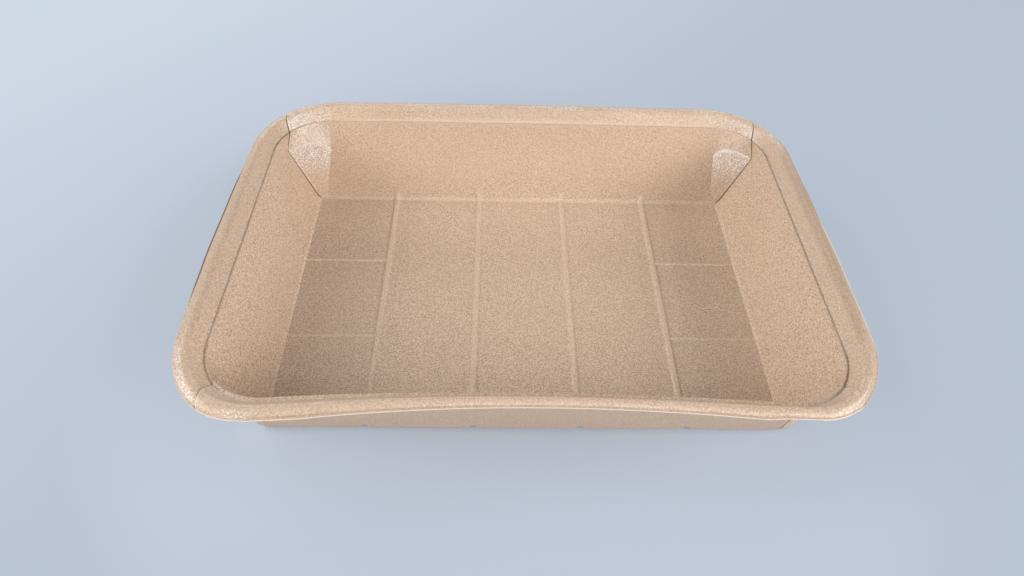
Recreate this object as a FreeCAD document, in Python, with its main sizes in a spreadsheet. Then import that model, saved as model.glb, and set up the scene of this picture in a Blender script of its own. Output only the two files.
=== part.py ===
"""Food tray pressed, folded and glued from one blank of coated kraft board.

The floor carries four raised beads and, in its end bays, thin cross creases. The long walls are hinged to
the floor and end in flaps, which turn the corners and are glued to the inside of the end walls. Both layers
run on into a flared rim with a rounded edge. The origin is under the middle of the floor, X along the tray.
"""
import FreeCAD, Part
import math
import os
import Sketcher

Vector = FreeCAD.Vector
Rotation = FreeCAD.Rotation

NODE = "food_tray"

# alias, millimetres or a plain number, what it measures
SIZES = (
    ("board", 0.5, "thickness of the board"),
    ("lap_bite", 0.1, "how far the press sinks one layer of a lap into the other"),
    ("floor_length", 200.0, "floor between its end folds"),
    ("floor_width", 131.0, "floor between its long folds"),
    ("fold_width", 1.0, "width of the crushed strip along the floor folds"),
    ("fold_rise", 1.5, "height of that strip above the table"),
    ("crease_height", 37.5, "height of the crease where the walls meet the rim"),
    ("end_lean", 13.0, "how far an end wall leans out over its height"),
    ("side_lean", 12.5, "how far a long wall leans out over its height"),
    ("crease_corner", 22.0, "corner radius at the crease"),
    ("facet_height", 29.5, "top of the flat gusset facet in each corner"),
    ("facet_side", 16.5, "width of the facet along the long wall at its top"),
    ("facet_end", 10.2, "width of the facet along the end wall at its top"),
    ("facet_root", 0.1, "width of the facet at the floor, as a share of its width at the top"),
    ("ledge", 0.6, "flat ledge inside the rim's groove"),
    ("groove_width", 1.0, "width of the groove at the foot of the rim"),
    ("groove_depth", 0.3, "depth of that groove"),
    ("rim_width", 10.9, "rim from the crease to the cut edge"),
    ("rim_rise", 5.0, "crest of the rim above the crease"),
    ("crest_reach", 8.0, "crest of the rim out from the crease"),
    ("crest_radius", 3.2, "radius of the rim's rounded edge"),
    ("edge_drop", 0.7, "flat cut edge of the rim below its crest"),
    ("seam_inset", 9.8, "seam at the crease, in from the long crease line"),
    ("seam_skew", 0.19, "how far the seam runs out along the tray for each millimetre across the rim"),
    ("lap_cover", 5.0, "how far an end panel covers the corner's end at the crease, outside"),
    ("bead_pitch", 41.2, "spacing of the floor beads"),
    ("bead_width", 1.8, "width of a floor bead"),
    ("bead_height", 0.5, "height of a floor bead above the floor"),
    ("cross_pitch", 44.2, "spacing of the two cross creases of a bay"),
    ("cross_width", 1.2, "width of a cross crease"),
    ("cross_height", 0.3, "height of a cross crease above the floor"),
    ("climb", 3.0, "how far beads and cross creases run up the walls"),
    ("reach", 30.0, "how far a cutting block stands past what it cuts"),
)

END_SLANT = "sqrt(1 + (sizes.end_lean / sizes.crease_height) ^ 2)"
SIDE_SLANT = "sqrt(1 + (sizes.side_lean / sizes.crease_height) ^ 2)"

UPPER_LAYER = "0"
UPPER_BACK = "sizes.board"
LOWER_LAYER = "(sizes.board - sizes.lap_bite)"
LOWER_BACK = "(2 * sizes.board - sizes.lap_bite)"

BEAD_ROWS = (-1.5, -0.5, 0.5, 1.5)
BAY_ROWS = (-0.5, 0.5)

doc = FreeCAD.newDocument("Tray")


def make_sheet():
    """Write the driving dimensions, one named cell each."""
    cells = doc.addObject("Spreadsheet::Sheet", "sizes")
    for row, (alias, size, meaning) in enumerate(SIZES, start=1):
        cells.set(f"A{row}", alias)
        cells.set(f"B{row}", str(size))
        cells.setAlias(f"B{row}", alias)
        cells.set(f"C{row}", meaning)
    doc.recompute()
    return cells


sheet = make_sheet()


def amount(formula):
    """Work out a formula on the sheet's cells."""
    return float(sheet.evalExpression(formula))


def bind(sketch, constraint, name, formula):
    """Add a dimension to a sketch and tie it to the sheet."""
    index = sketch.addConstraint(constraint)
    sketch.renameConstraint(index, name)
    sketch.setExpression(f"Constraints.{name}", formula)


def add_sketch(name, rotation, base=("0", "0", "0")):
    """Start a sketch whose origin stands at the three formulas of base."""
    sketch = doc.addObject("Sketcher::SketchObject", name)
    sketch.Placement = FreeCAD.Placement(Vector(*[amount(part) for part in base]), rotation)
    for axis, formula in zip("xyz", base):
        sketch.setExpression(f"Placement.Base.{axis}", formula)
    return sketch


def bind_point(sketch, name, geometry, end, place):
    """Hold one point of a sketch at two formulas, measured from the sketch's origin."""
    for axis, formula in zip("XY", place):
        # a signed distance from the origin, so a point may lie on either side of an axis
        distance = Sketcher.Constraint(f"Distance{axis}", -1, 1, geometry, end, amount(formula))
        bind(sketch, distance, f"{name}{axis}", formula)


FLAT = Rotation()
FACING_Y = Rotation(Vector(1, 0, 0), 90)
FACING_X = Rotation(Vector(1, 1, 1), 120)


def polygon(name, rotation, places, base=("0", "0", "0")):
    """Closed outline through places, each a pair of formulas."""
    sketch = add_sketch(name, rotation, base)
    points = [Vector(amount(x), amount(y), 0) for x, y in places]
    for index, start in enumerate(points):
        sketch.addGeometry(Part.LineSegment(start, points[(index + 1) % len(points)]))
    for index, place in enumerate(places):
        sketch.addConstraint(Sketcher.Constraint("Coincident", index, 2, (index + 1) % len(points), 1))
        bind_point(sketch, f"corner{index}", index, 1, place)
    return sketch


def corner_ring(name, height, length, width, radius):
    """Level outline with four straight sides and quarter-round corners, from the middle right, leftwards."""
    sketch = add_sketch(name, FLAT, ("0", "0", height))
    half_x = amount(length) / 2
    half_y = amount(width) / 2
    size = amount(radius)
    flat_x = half_x - size
    flat_y = half_y - size
    sides = [
        (Vector(half_x, -flat_y, 0), Vector(half_x, flat_y, 0)),
        (Vector(flat_x, half_y, 0), Vector(-flat_x, half_y, 0)),
        (Vector(-half_x, flat_y, 0), Vector(-half_x, -flat_y, 0)),
        (Vector(-flat_x, -half_y, 0), Vector(flat_x, -half_y, 0)),
    ]
    for index, (start, end) in enumerate(sides):
        following = sides[(index + 1) % len(sides)][0]
        sketch.addGeometry(Part.LineSegment(start, end))
        sketch.addGeometry(arc_between(end, following, size))
    for index in range(8):
        sketch.addConstraint(Sketcher.Constraint("Tangent", index, 2, (index + 1) % 8, 1))
    for arc in (3, 5, 7):
        sketch.addConstraint(Sketcher.Constraint("Equal", 1, arc))
    for index, direction in ((0, "Vertical"), (2, "Horizontal"), (4, "Vertical"), (6, "Horizontal")):
        sketch.addConstraint(Sketcher.Constraint(direction, index))
    sketch.addConstraint(Sketcher.Constraint("Symmetric", 1, 3, 5, 3, -1, 1))
    bind(sketch, Sketcher.Constraint("DistanceX", 4, 1, 0, 1, 2 * half_x), "length", length)
    bind(sketch, Sketcher.Constraint("DistanceY", 6, 1, 2, 1, 2 * half_y), "width", width)
    bind(sketch, Sketcher.Constraint("Radius", 1, size), "radius", radius)
    return sketch


def arc_between(start, end, radius):
    """Arc that turns left from one point to another."""
    chord = end - start
    inward = Vector(-chord.y, chord.x, 0).normalize()
    centre = (start + end) / 2 + inward * math.sqrt(max(radius ** 2 - (chord.Length / 2) ** 2, 0))
    first = math.atan2(start.y - centre.y, start.x - centre.x)
    last = math.atan2(end.y - centre.y, end.x - centre.x)
    return Part.ArcOfCircle(Part.Circle(centre, Vector(0, 0, 1), radius), first, last)


def wall_size(height, skin):
    """Length and width of the walls' outline at a height, a skin's thickness outside the inner face."""
    rise = f"{height} / sizes.crease_height"
    length = f"sizes.floor_length + 2 * sizes.end_lean * {rise} + 2 * {skin} * {END_SLANT}"
    width = f"sizes.floor_width + 2 * sizes.side_lean * {rise} + 2 * {skin} * {SIDE_SLANT}"
    return length, width


def facet_ring(name, height, skin):
    """Outline of the walls and the flat gusset facets across their corners, at a height."""
    length, width = wall_size(height, skin)
    share = f"(sizes.facet_root + (1 - sizes.facet_root) * {height} / sizes.facet_height)"
    slope = "(sizes.facet_side / sizes.facet_end)"
    # a facet keeps its distance from the next skin when its two legs grow like this
    side_leg = f"sizes.facet_side * {share} + {skin} * (1 + {slope} - sqrt(1 + {slope} ^ 2))"
    end_leg = f"sizes.facet_end * {share} + {skin} * (1 + 1 / {slope} - sqrt(1 + 1 / {slope} ^ 2))"
    half_x, half_y = f"({length}) / 2", f"({width}) / 2"
    flat_x, flat_y = f"({half_x} - ({side_leg}))", f"({half_y} - ({end_leg}))"
    places = [
        (half_x, f"-{flat_y}"), (half_x, flat_y), (flat_x, half_y), (f"-{flat_x}", half_y),
        (f"-{half_x}", flat_y), (f"-{half_x}", f"-{flat_y}"),
        (f"-{flat_x}", f"-{half_y}"), (flat_x, f"-{half_y}"),
    ]
    return polygon(name, FLAT, places, ("0", "0", height))


def crease_ring(name, skin):
    """Outline of the walls at their crease, where the corners are round."""
    length, width = wall_size("sizes.crease_height", skin)
    return corner_ring(name, "sizes.crease_height", length, width, f"sizes.crease_corner + {skin}")


def loft(name, sections):
    """Solid ruled from each section to the next."""
    body = doc.addObject("Part::Loft", name)
    body.Sections = sections
    body.Solid = True
    body.Ruled = True
    return body


def outer_tub(name, skin):
    """The tub's outer face as a solid, a skin outside the inner face."""
    return loft(name, [
        facet_ring(name + "_floor", "0", skin),
        facet_ring(name + "_facet", "sizes.facet_height", skin),
        crease_ring(name + "_crease", skin),
    ])


def inner_tub(name, skin):
    """The tub's hollow, with the crushed strip that each floor fold leaves inside."""
    return loft(name, [
        facet_ring(name + "_floor", "0", f"({skin} - sizes.fold_width)"),
        facet_ring(name + "_fold", "sizes.fold_rise", skin),
        facet_ring(name + "_facet", "sizes.facet_height", skin),
        crease_ring(name + "_crease", skin),
    ])


def cut(name, base, tool):
    """Base less tool."""
    result = doc.addObject("Part::Cut", name)
    result.Base = base
    result.Tool = tool
    return result


def common(name, first, second):
    """What two solids share."""
    result = doc.addObject("Part::Common", name)
    result.Base = first
    result.Tool = second
    return result


def fuse(name, parts):
    """Several solids as one."""
    result = doc.addObject("Part::MultiFuse", name)
    result.Shapes = parts
    return result


def extrude(name, sketch, direction, forward, backward="0"):
    """Prism of a sketch along a direction."""
    prism = doc.addObject("Part::Extrusion", name)
    prism.Base = sketch
    prism.DirMode = "Custom"
    prism.Dir = direction
    prism.Solid = True
    prism.setExpression("LengthFwd", forward)
    prism.setExpression("LengthRev", backward)
    return prism


def sweep(name, profile, spine):
    """Solid swept along a path, with mitred corners."""
    body = doc.addObject("Part::Sweep", name)
    body.Sections = [profile]
    body.Spine = (spine, [])
    body.Solid = True
    body.Transition = "Right corner"
    return body


def mirror(name, source, normal):
    """Mirror image across a plane through the origin."""
    image = doc.addObject("Part::Mirroring", name)
    image.Source = source
    image.Normal = normal
    return image


def rim_line():
    """The rim's upper face in section: ledge, groove, rising band, rounded crest and flat cut edge."""
    spine_x = "sizes.floor_length / 2 + sizes.end_lean"
    spine_y = "-(sizes.floor_width / 2 + sizes.side_lean - sizes.crease_corner)"
    sketch = add_sketch("rim_line", FACING_Y, (spine_x, spine_y, "sizes.crease_height"))
    ledge = Vector(amount("sizes.ledge"), 0, 0)
    valley = Vector(amount("sizes.ledge + sizes.groove_width / 2"), -amount("sizes.groove_depth"), 0)
    foot = Vector(amount("sizes.ledge + sizes.groove_width"), 0, 0)
    crest_radius = amount("sizes.crest_radius")
    crest = Vector(amount("sizes.crest_reach"), amount("sizes.rim_rise") - crest_radius, 0)
    run = crest - foot
    slope = math.atan2(run.y, run.x) + math.asin(crest_radius / run.Length)
    shoulder = crest + Vector(-math.sin(slope), math.cos(slope), 0) * crest_radius
    edge_height = amount("sizes.rim_rise - sizes.edge_drop")
    edge_angle = math.asin((edge_height - crest.y) / crest_radius)
    edge = crest + Vector(math.cos(edge_angle), math.sin(edge_angle), 0) * crest_radius
    sketch.addGeometry(Part.LineSegment(Vector(0, 0, 0), ledge))
    sketch.addGeometry(Part.LineSegment(ledge, valley))
    sketch.addGeometry(Part.LineSegment(valley, foot))
    sketch.addGeometry(Part.LineSegment(foot, shoulder))
    circle = Part.Circle(crest, Vector(0, 0, 1), crest_radius)
    sketch.addGeometry(Part.ArcOfCircle(circle, edge_angle, math.pi / 2 + slope))
    sketch.addGeometry(Part.LineSegment(edge, Vector(amount("sizes.rim_width"), edge_height, 0)))
    sketch.addConstraint(Sketcher.Constraint("Coincident", 0, 1, -1, 1))
    for index in range(3):
        sketch.addConstraint(Sketcher.Constraint("Coincident", index, 2, index + 1, 1))
    sketch.addConstraint(Sketcher.Constraint("Tangent", 3, 2, 4, 2))
    sketch.addConstraint(Sketcher.Constraint("Coincident", 4, 1, 5, 1))
    sketch.addConstraint(Sketcher.Constraint("Horizontal", 0))
    sketch.addConstraint(Sketcher.Constraint("PointOnObject", 2, 2, -1))
    sketch.addConstraint(Sketcher.Constraint("Equal", 1, 2))
    sketch.addConstraint(Sketcher.Constraint("Horizontal", 5))
    bind(sketch, Sketcher.Constraint("DistanceX", 0, 1, 0, 2, ledge.x), "ledge", "sizes.ledge")
    bind_point(sketch, "valley", 1, 2, ("sizes.ledge + sizes.groove_width / 2", "-sizes.groove_depth"))
    bind_point(sketch, "crest", 4, 3, ("sizes.crest_reach", "sizes.rim_rise - sizes.crest_radius"))
    bind(sketch, Sketcher.Constraint("Radius", 4, crest_radius), "crest_radius", "sizes.crest_radius")
    bind_point(sketch, "edge", 5, 2, ("sizes.rim_width", "sizes.rim_rise - sizes.edge_drop"))
    return sketch


def offset_line(name, source, distance, fill):
    """A line moved down by a distance, or the strip between the two."""
    strip = doc.addObject("Part::Offset2D", name)
    strip.Source = source
    strip.Mode = "Skin"
    strip.Join = "Intersection"
    strip.Fill = fill
    strip.Value = -amount(distance)
    strip.setExpression("Value", f"-({distance})")
    return strip


def end_pair(name, places, rotation, direction, forward, backward="0"):
    """Two mirrored prisms, one at each end of the tray, drawn for the right-hand end."""
    prisms = []
    for end, side in (("left", "-"), ("right", "")):
        outline = polygon(f"{end}_{name}_outline", rotation, [(f"{side}{x}", y) for x, y in places])
        prisms.append(extrude(f"{end}_{name}", outline, direction, forward, backward))
    return fuse(name, prisms)


HALF_LENGTH = "(sizes.floor_length / 2 + sizes.end_lean)"
HALF_WIDTH = "(sizes.floor_width / 2 + sizes.side_lean)"
FAR_X = f"({HALF_LENGTH} + sizes.reach)"
FAR_Y = f"({HALF_WIDTH} + sizes.reach)"
FAR_UP = "(sizes.crease_height + sizes.reach)"
# centre of a corner's round at the crease
CORNER_X = f"({HALF_LENGTH} - sizes.crease_corner)"
CORNER_Y = f"({HALF_WIDTH} - sizes.crease_corner)"


def wall_window():
    """Block through both end walls, between the seams, where the long walls' layer stops."""
    floor_y = "sizes.floor_width / 2"
    crease_y = f"({HALF_WIDTH} - sizes.seam_inset)"
    lean = f"({crease_y} - {floor_y}) / (sizes.crease_height - sizes.facet_height)"
    far_y = f"({floor_y} + {lean} * ({FAR_UP} - sizes.facet_height))"
    outline = polygon("wall_window_outline", FACING_X, [
        (f"-{floor_y}", "-sizes.reach"), (floor_y, "-sizes.reach"), (floor_y, "sizes.facet_height"),
        (far_y, FAR_UP), (f"-{far_y}", FAR_UP), (f"-{floor_y}", "sizes.facet_height"),
    ])
    return extrude("wall_window", outline, Vector(1, 0, 0), FAR_X, FAR_X)


def rim_window():
    """Blocks over the rim at both ends, between the seams, which run out askew from the crease."""
    crease_y = f"({HALF_WIDTH} - sizes.seam_inset)"
    turn = "sqrt(sizes.crease_corner ^ 2 - (sizes.crease_corner - sizes.seam_inset) ^ 2)"
    crease_x = f"({CORNER_X} + {turn})"
    far_x = f"({crease_x} + sizes.seam_skew * ({FAR_Y} - {crease_y}))"
    places = [
        (crease_x, f"-{crease_y}"), (far_x, f"-{FAR_Y}"), (FAR_X, f"-{FAR_Y}"),
        (FAR_X, FAR_Y), (far_x, FAR_Y), (crease_x, crease_y),
    ]
    return end_pair("rim_window", places, FLAT, Vector(0, 0, 1), FAR_UP)


def panel_block():
    """Blocks that hold the end panels, as far as they cover the corners outside."""
    floor_x = "sizes.floor_length / 2"
    crease_x = f"({CORNER_X} + sizes.lap_cover)"
    places = [
        (floor_x, "0"), (FAR_X, "0"), (FAR_X, FAR_UP), (crease_x, FAR_UP), (crease_x, "sizes.crease_height"),
    ]
    return end_pair("panel_block", places, FACING_Y, Vector(0, 1, 0), FAR_Y, FAR_Y)


def rim_block():
    """Blocks that hold the end panels' rim, cut square to it where it ends under the other rim."""
    turn = "sqrt(sizes.crease_corner ^ 2 - sizes.lap_cover ^ 2)"
    far_x = f"({CORNER_X} + 2 * sizes.lap_cover)"
    far_y = f"({CORNER_Y} + 2 * {turn})"
    places = [
        (CORNER_X, f"-{CORNER_Y}"), (far_x, f"-{far_y}"), (FAR_X, f"-{far_y}"),
        (FAR_X, far_y), (far_x, far_y), (CORNER_X, CORNER_Y),
    ]
    return end_pair("rim_block", places, FLAT, Vector(0, 0, 1), FAR_UP)


def cap_section(name, rotation, base, width, height):
    """Low round cap, drawn on its chord and sunk half a board deep."""
    sketch = add_sketch(name, rotation, base)
    half = amount(width) / 2
    radius = f"({width} ^ 2 / 4 + {height} ^ 2) / (2 * {height})"
    sunk = amount("sizes.board / 2")
    left, right = Vector(-half, 0, 0), Vector(half, 0, 0)
    low_left, low_right = Vector(-half, -sunk, 0), Vector(half, -sunk, 0)
    sketch.addGeometry(Part.LineSegment(low_left, low_right))
    sketch.addGeometry(Part.LineSegment(low_right, right))
    sketch.addGeometry(arc_between(right, left, amount(radius)))
    sketch.addGeometry(Part.LineSegment(left, low_left))
    for index in range(4):
        sketch.addConstraint(Sketcher.Constraint("Coincident", index, 2, (index + 1) % 4, 1))
    sketch.addConstraint(Sketcher.Constraint("Symmetric", 0, 1, 0, 2, -2))
    sketch.addConstraint(Sketcher.Constraint("Vertical", 1))
    sketch.addConstraint(Sketcher.Constraint("Vertical", 3))
    sketch.addConstraint(Sketcher.Constraint("PointOnObject", 1, 2, -1))
    sketch.addConstraint(Sketcher.Constraint("PointOnObject", 3, 1, -1))
    bind(sketch, Sketcher.Constraint("DistanceX", 0, 1, 0, 2, 2 * half), "width", width)
    bind(sketch, Sketcher.Constraint("DistanceY", 0, 2, -1, 1, sunk), "sunk", "sizes.board / 2")
    bind(sketch, Sketcher.Constraint("Radius", 2, amount(radius)), "radius", radius)
    return sketch


def climbing_path(name, rotation, base, run, lean):
    """Path along the floor's upper face and a little way up a wall."""
    rise = "(sizes.climb)"
    stops = [("0", "0"), (run, "0"), (f"{run} + {lean} * {rise} / sizes.crease_height", rise)]
    sketch = add_sketch(name, rotation, base)
    points = [Vector(amount(x), amount(y), 0) for x, y in stops]
    for start, end in zip(points, points[1:]):
        sketch.addGeometry(Part.LineSegment(start, end))
    sketch.addConstraint(Sketcher.Constraint("Coincident", 0, 1, -1, 1))
    sketch.addConstraint(Sketcher.Constraint("Coincident", 0, 2, 1, 1))
    sketch.addConstraint(Sketcher.Constraint("Horizontal", 0))
    bind(sketch, Sketcher.Constraint("DistanceX", 0, 1, 0, 2, amount(run)), "run", run)
    bind_point(sketch, "top", 1, 2, stops[2])
    return sketch


def floor_beads():
    """Four beads across the floor, pressed up from below, and the grooves that they leave underneath."""
    beads, grooves = [], []
    radius = "(sizes.bead_width ^ 2 / 4 + sizes.bead_height ^ 2) / (2 * sizes.bead_height)"
    for number, row in enumerate(BEAD_ROWS, start=1):
        name = f"bead{number}"
        place = (f"{row} * sizes.bead_pitch", "0", "sizes.board")
        section = cap_section(name + "_section", FACING_Y, place, "sizes.bead_width", "sizes.bead_height")
        path = climbing_path(name + "_path", FACING_X, place, "sizes.floor_width / 2", "sizes.side_lean")
        half = sweep(name + "_back", section, path)
        beads += [half, mirror(name + "_front", half, Vector(0, 1, 0))]
        groove = doc.addObject("Part::Cylinder", name + "_groove")
        groove.Placement.Rotation = Rotation(Vector(1, 0, 0), -90)
        groove.setExpression("Radius", f"{radius} - sizes.board")
        groove.setExpression("Height", "sizes.floor_width - 2 * sizes.fold_width")
        groove.setExpression("Placement.Base.x", place[0])
        groove.setExpression("Placement.Base.y", "sizes.fold_width - sizes.floor_width / 2")
        groove.setExpression("Placement.Base.z", f"sizes.board + sizes.bead_height - {radius}")
        grooves.append(groove)
    return beads, grooves


def cross_creases():
    """Two thin creases in each end bay, from the outer bead to a little way up the end wall."""
    creases = []
    start = f"{BEAD_ROWS[-1]} * sizes.bead_pitch"
    run = f"sizes.floor_length / 2 + {LOWER_LAYER} - {start}"
    for number, row in enumerate(BAY_ROWS, start=1):
        name = f"cross{number}"
        place = (start, f"{row} * sizes.cross_pitch", "sizes.board")
        section = cap_section(name + "_section", FACING_X, place, "sizes.cross_width", "sizes.cross_height")
        path = climbing_path(name + "_path", FACING_Y, place, run, "sizes.end_lean")
        right = sweep(name + "_right", section, path)
        creases += [right, mirror(name + "_left", right, Vector(1, 0, 0))]
    return creases


def floor_panel(outline):
    """Floor board, trimmed to the tub."""
    slab = doc.addObject("Part::Box", "floor_slab")
    slab.setExpression("Length", "sizes.floor_length + 2 * sizes.end_lean")
    slab.setExpression("Width", "sizes.floor_width + 2 * sizes.side_lean")
    slab.setExpression("Height", "sizes.board")
    slab.setExpression("Placement.Base.x", "-sizes.floor_length / 2 - sizes.end_lean")
    slab.setExpression("Placement.Base.y", "-sizes.floor_width / 2 - sizes.side_lean")
    return common("floor_panel", slab, outline)


def make_tray():
    """Join the floor, the two layers of the walls and rim, the beads and the creases into one sheet."""
    spine = crease_ring("rim_path", UPPER_LAYER)
    upper_line = rim_line()
    lower_line = offset_line("lower_rim_line", upper_line, LOWER_LAYER, False)
    upper_rim = sweep("upper_rim", offset_line("upper_rim_strip", upper_line, "sizes.board", True), spine)
    lower_rim = sweep("lower_rim", offset_line("lower_rim_strip", lower_line, "sizes.board", True), spine)

    upper_back = outer_tub("upper_back", UPPER_BACK)
    upper_walls = cut("upper_walls", upper_back, inner_tub("upper_face", UPPER_LAYER))
    lower_back = outer_tub("lower_back", LOWER_BACK)
    lower_walls = cut("lower_walls", lower_back, inner_tub("lower_face", LOWER_LAYER))

    beads, grooves = floor_beads()
    sheet_parts = [
        floor_panel(upper_back),
        cut("long_walls", upper_walls, wall_window()),
        cut("long_rim", upper_rim, rim_window()),
        common("end_walls", lower_walls, panel_block()),
        common("end_rim", lower_rim, rim_block()),
    ]
    solid = fuse("sheet_solid", sheet_parts + beads + cross_creases())
    tray = cut(NODE, solid, fuse("grooves", grooves))
    tray.Label = NODE
    return tray


def check_document():
    """Stop if any object failed, has no valid shape or is a sketch that isn't fully constrained."""
    for item in doc.Objects:
        if "Invalid" in item.State or "Error" in item.State:
            raise RuntimeError(f"{item.Name} failed: {item.State}")
        if hasattr(item, "Shape") and (item.Shape.isNull() or not item.Shape.isValid()):
            raise RuntimeError(f"{item.Name} has no valid shape")
        if hasattr(item, "FullyConstrained") and not item.FullyConstrained:
            raise RuntimeError(f"{item.Name} isn't fully constrained")


def write_step(node):
    """Write one sub-part's file."""
    shape = node.Shape
    if shape.isNull() or not shape.isValid() or len(shape.Solids) != 1:
        raise RuntimeError(f"{node.Label} isn't one valid solid")
    os.makedirs("parts", exist_ok=True)
    shape.exportStep(os.path.join("parts", f"{node.Label}.step"))
    box = shape.optimalBoundingBox()
    print(f"{node.Label}: {shape.Volume / 1000:.2f} cm3, {len(shape.Faces)} faces,",
          f"{box.XLength:.1f} x {box.YLength:.1f} x {box.ZLength:.1f} mm")


tray = make_tray()
doc.recompute()
check_document()
write_step(tray)
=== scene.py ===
# %% [markdown]
# # A kraft food tray, pressed, folded and glued from one blank
#
# The real tray starts as a flat blank of kraft board with a thin clear film on its upper face. A heated
# press folds up four walls, and the flaps at the ends of the long walls turn the corners and are glued to
# the inside of the end walls. The same stroke rolls the edge into a flared rim.
#
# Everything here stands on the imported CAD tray. It is loaded first, and it gives the size and the place.

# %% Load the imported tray
import math

import bpy
from mathutils import Matrix, Vector, noise


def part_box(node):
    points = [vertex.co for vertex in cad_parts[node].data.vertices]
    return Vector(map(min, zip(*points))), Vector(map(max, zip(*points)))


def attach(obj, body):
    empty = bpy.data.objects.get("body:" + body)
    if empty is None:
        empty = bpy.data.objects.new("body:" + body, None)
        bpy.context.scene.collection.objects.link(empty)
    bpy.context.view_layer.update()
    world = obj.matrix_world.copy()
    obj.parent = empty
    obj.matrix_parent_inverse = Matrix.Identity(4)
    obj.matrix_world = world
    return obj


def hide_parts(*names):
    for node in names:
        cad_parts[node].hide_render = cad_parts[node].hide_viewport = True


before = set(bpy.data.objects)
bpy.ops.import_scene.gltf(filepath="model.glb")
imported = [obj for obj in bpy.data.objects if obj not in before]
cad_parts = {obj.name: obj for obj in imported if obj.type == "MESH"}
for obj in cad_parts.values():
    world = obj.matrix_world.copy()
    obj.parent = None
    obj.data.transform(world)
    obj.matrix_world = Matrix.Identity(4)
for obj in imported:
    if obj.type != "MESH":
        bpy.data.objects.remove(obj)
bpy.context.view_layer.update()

TRAY_LOW, TRAY_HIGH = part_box("food_tray")
MM = 0.001
print("tray, mm:", [round(side / MM, 1) for side in TRAY_HIGH - TRAY_LOW])

# %% [markdown]
# ## The camera
#
# The camera looks down on the long side from about 48 degrees, a little to the left of the middle, with
# the horizon tipped by two and a half degrees. A camera can be aimed with constraints. Here its three
# axes are written out, because the tilt is then one plain turn about the line of sight.

# %% Camera
VIEW_HEIGHT = math.radians(48.43)
VIEW_TURN = math.radians(-2.48)
VIEW_ROLL = math.radians(2.53)
VIEW_DISTANCE = 317.74 * MM
VIEW_TARGET = Vector((-4.51, 6.31, 0)) * MM
VIEW_LENS = 24.61
SENSOR_WIDTH = 36

back = Vector((math.sin(VIEW_TURN) * math.cos(VIEW_HEIGHT),
               -math.cos(VIEW_TURN) * math.cos(VIEW_HEIGHT),
               math.sin(VIEW_HEIGHT)))
level = Vector((0, 0, 1)).cross(back).normalized()
turned = Matrix((level, back.cross(level), back)).transposed() @ Matrix.Rotation(VIEW_ROLL, 3, "Z")

bpy.ops.object.camera_add()
camera = bpy.context.object
camera.name = "camera"
camera.data.sensor_width = SENSOR_WIDTH
camera.data.lens = VIEW_LENS
camera.data.clip_start = 0.01
camera.matrix_world = Matrix.Translation(VIEW_TARGET + back * VIEW_DISTANCE) @ turned.to_4x4()
bpy.context.scene.camera = camera
print("camera at, mm:", [round(part / MM) for part in camera.location])

# %% [markdown]
# ## Sizes
#
# The driving sizes are in millimetres, as on a die maker's drawing. The outer ones are worked out from the
# CAD tray's box, so the sheet below always meets it.

# %% Sizes of the pressed tray
BOARD = 0.5
RIM_WIDTH = 10.9
RIM_RISE = 5.0
CREASE_X = TRAY_HIGH.x / MM - RIM_WIDTH
CREASE_Y = TRAY_HIGH.y / MM - RIM_WIDTH
CREASE_Z = TRAY_HIGH.z / MM - RIM_RISE
CORNER = 22.0
ARC_X = CREASE_X - CORNER
ARC_Y = CREASE_Y - CORNER
END_LEAN = 13.0 / CREASE_Z
SIDE_LEAN = 12.5 / CREASE_Z
FLOOR_X = CREASE_X - END_LEAN * CREASE_Z
FLOOR_Y = CREASE_Y - SIDE_LEAN * CREASE_Z
SIDE_INSET = 1.0
END_INSET = 0.25
FOLD_TOP = 1.5
SIDE_ARCH = 25
END_ARCH = 29.5
BEADS = (20.6, 61.8)
BEAD_HALF = 1.6
BEAD_HEIGHT = 0.7
CREASE_ROW = 22.2
CROSS_HALF = 0.8
CROSS_HEIGHT = 0.5
CLIMB = 3.2
# width and strengths of the highlight painted on folds, cross creases and the walls' fold strips
FOLD_HIGHLIGHT_HALF = 0.4
CROSS_HIGHLIGHT = 1.3
SIDE_HIGHLIGHT = 0.45
END_HIGHLIGHT = 0.2
print("floor, mm:", round(2 * FLOOR_X, 1), "x", round(2 * FLOOR_Y, 1))

# %% [markdown]
# ## Lines on the blank
#
# A press only bends the board along a few lines, so the mesh needs its vertices there and hardly any
# between them. The same trick as a die maker's: first the lines are set out along each edge of the floor,
# close together at the beads, the cross creases and the corners, and wide apart on the flat.


# %% Set out the lines
def spaced(start, end, step):
    """Even steps from start up to end, both included."""
    count = max(1, round(abs(end - start) / step))
    return [start + (end - start) * index / count for index in range(count + 1)]


def lines_past(rows, half, end):
    """Lines from the middle of an edge to its end, drawn close where a ridge crosses it."""
    lines = [0.0]
    for row in rows:
        lines += spaced(lines[-1], row - 1.5 * half, 5)[1:]
        lines += spaced(row - 1.5 * half, row + 1.5 * half, half / 3)[1:]
    return lines + spaced(lines[-1], end, 5)[1:]


# share of a run, or a distance in millimetres where that is less
NEAR_FOLD = ((0.05, 0.4), (0.12, 0.9), (0.2, 1.6))
NEAR_LAP = ((0.03, 0.12), (0.08, 0.3), (0.13, 0.45), (0.2, 0.9), (0.29, 1.8), (0.4, 3.2))
NEAR_EDGE = ((0.05, 0.3), (0.12, 0.8), (0.2, 1.6))

along_side = lines_past(BEADS, BEAD_HALF, ARC_X)
along_end = lines_past((CREASE_ROW,), CROSS_HALF, ARC_Y)
print("lines:", len(along_side), "on half a long wall,", len(along_end), "on half an end wall")

# %% [markdown]
# ## Rows up the wall
#
# Each line becomes a column of vertices that climbs from the floor, over the crushed fold, up the wall, over
# the crease and its groove, and out along the rim to the cut edge. A row is one height on that climb. The
# rim's rows are pairs, out from the crease and up from it: a groove, a straight flank and a rounded bead.

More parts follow.
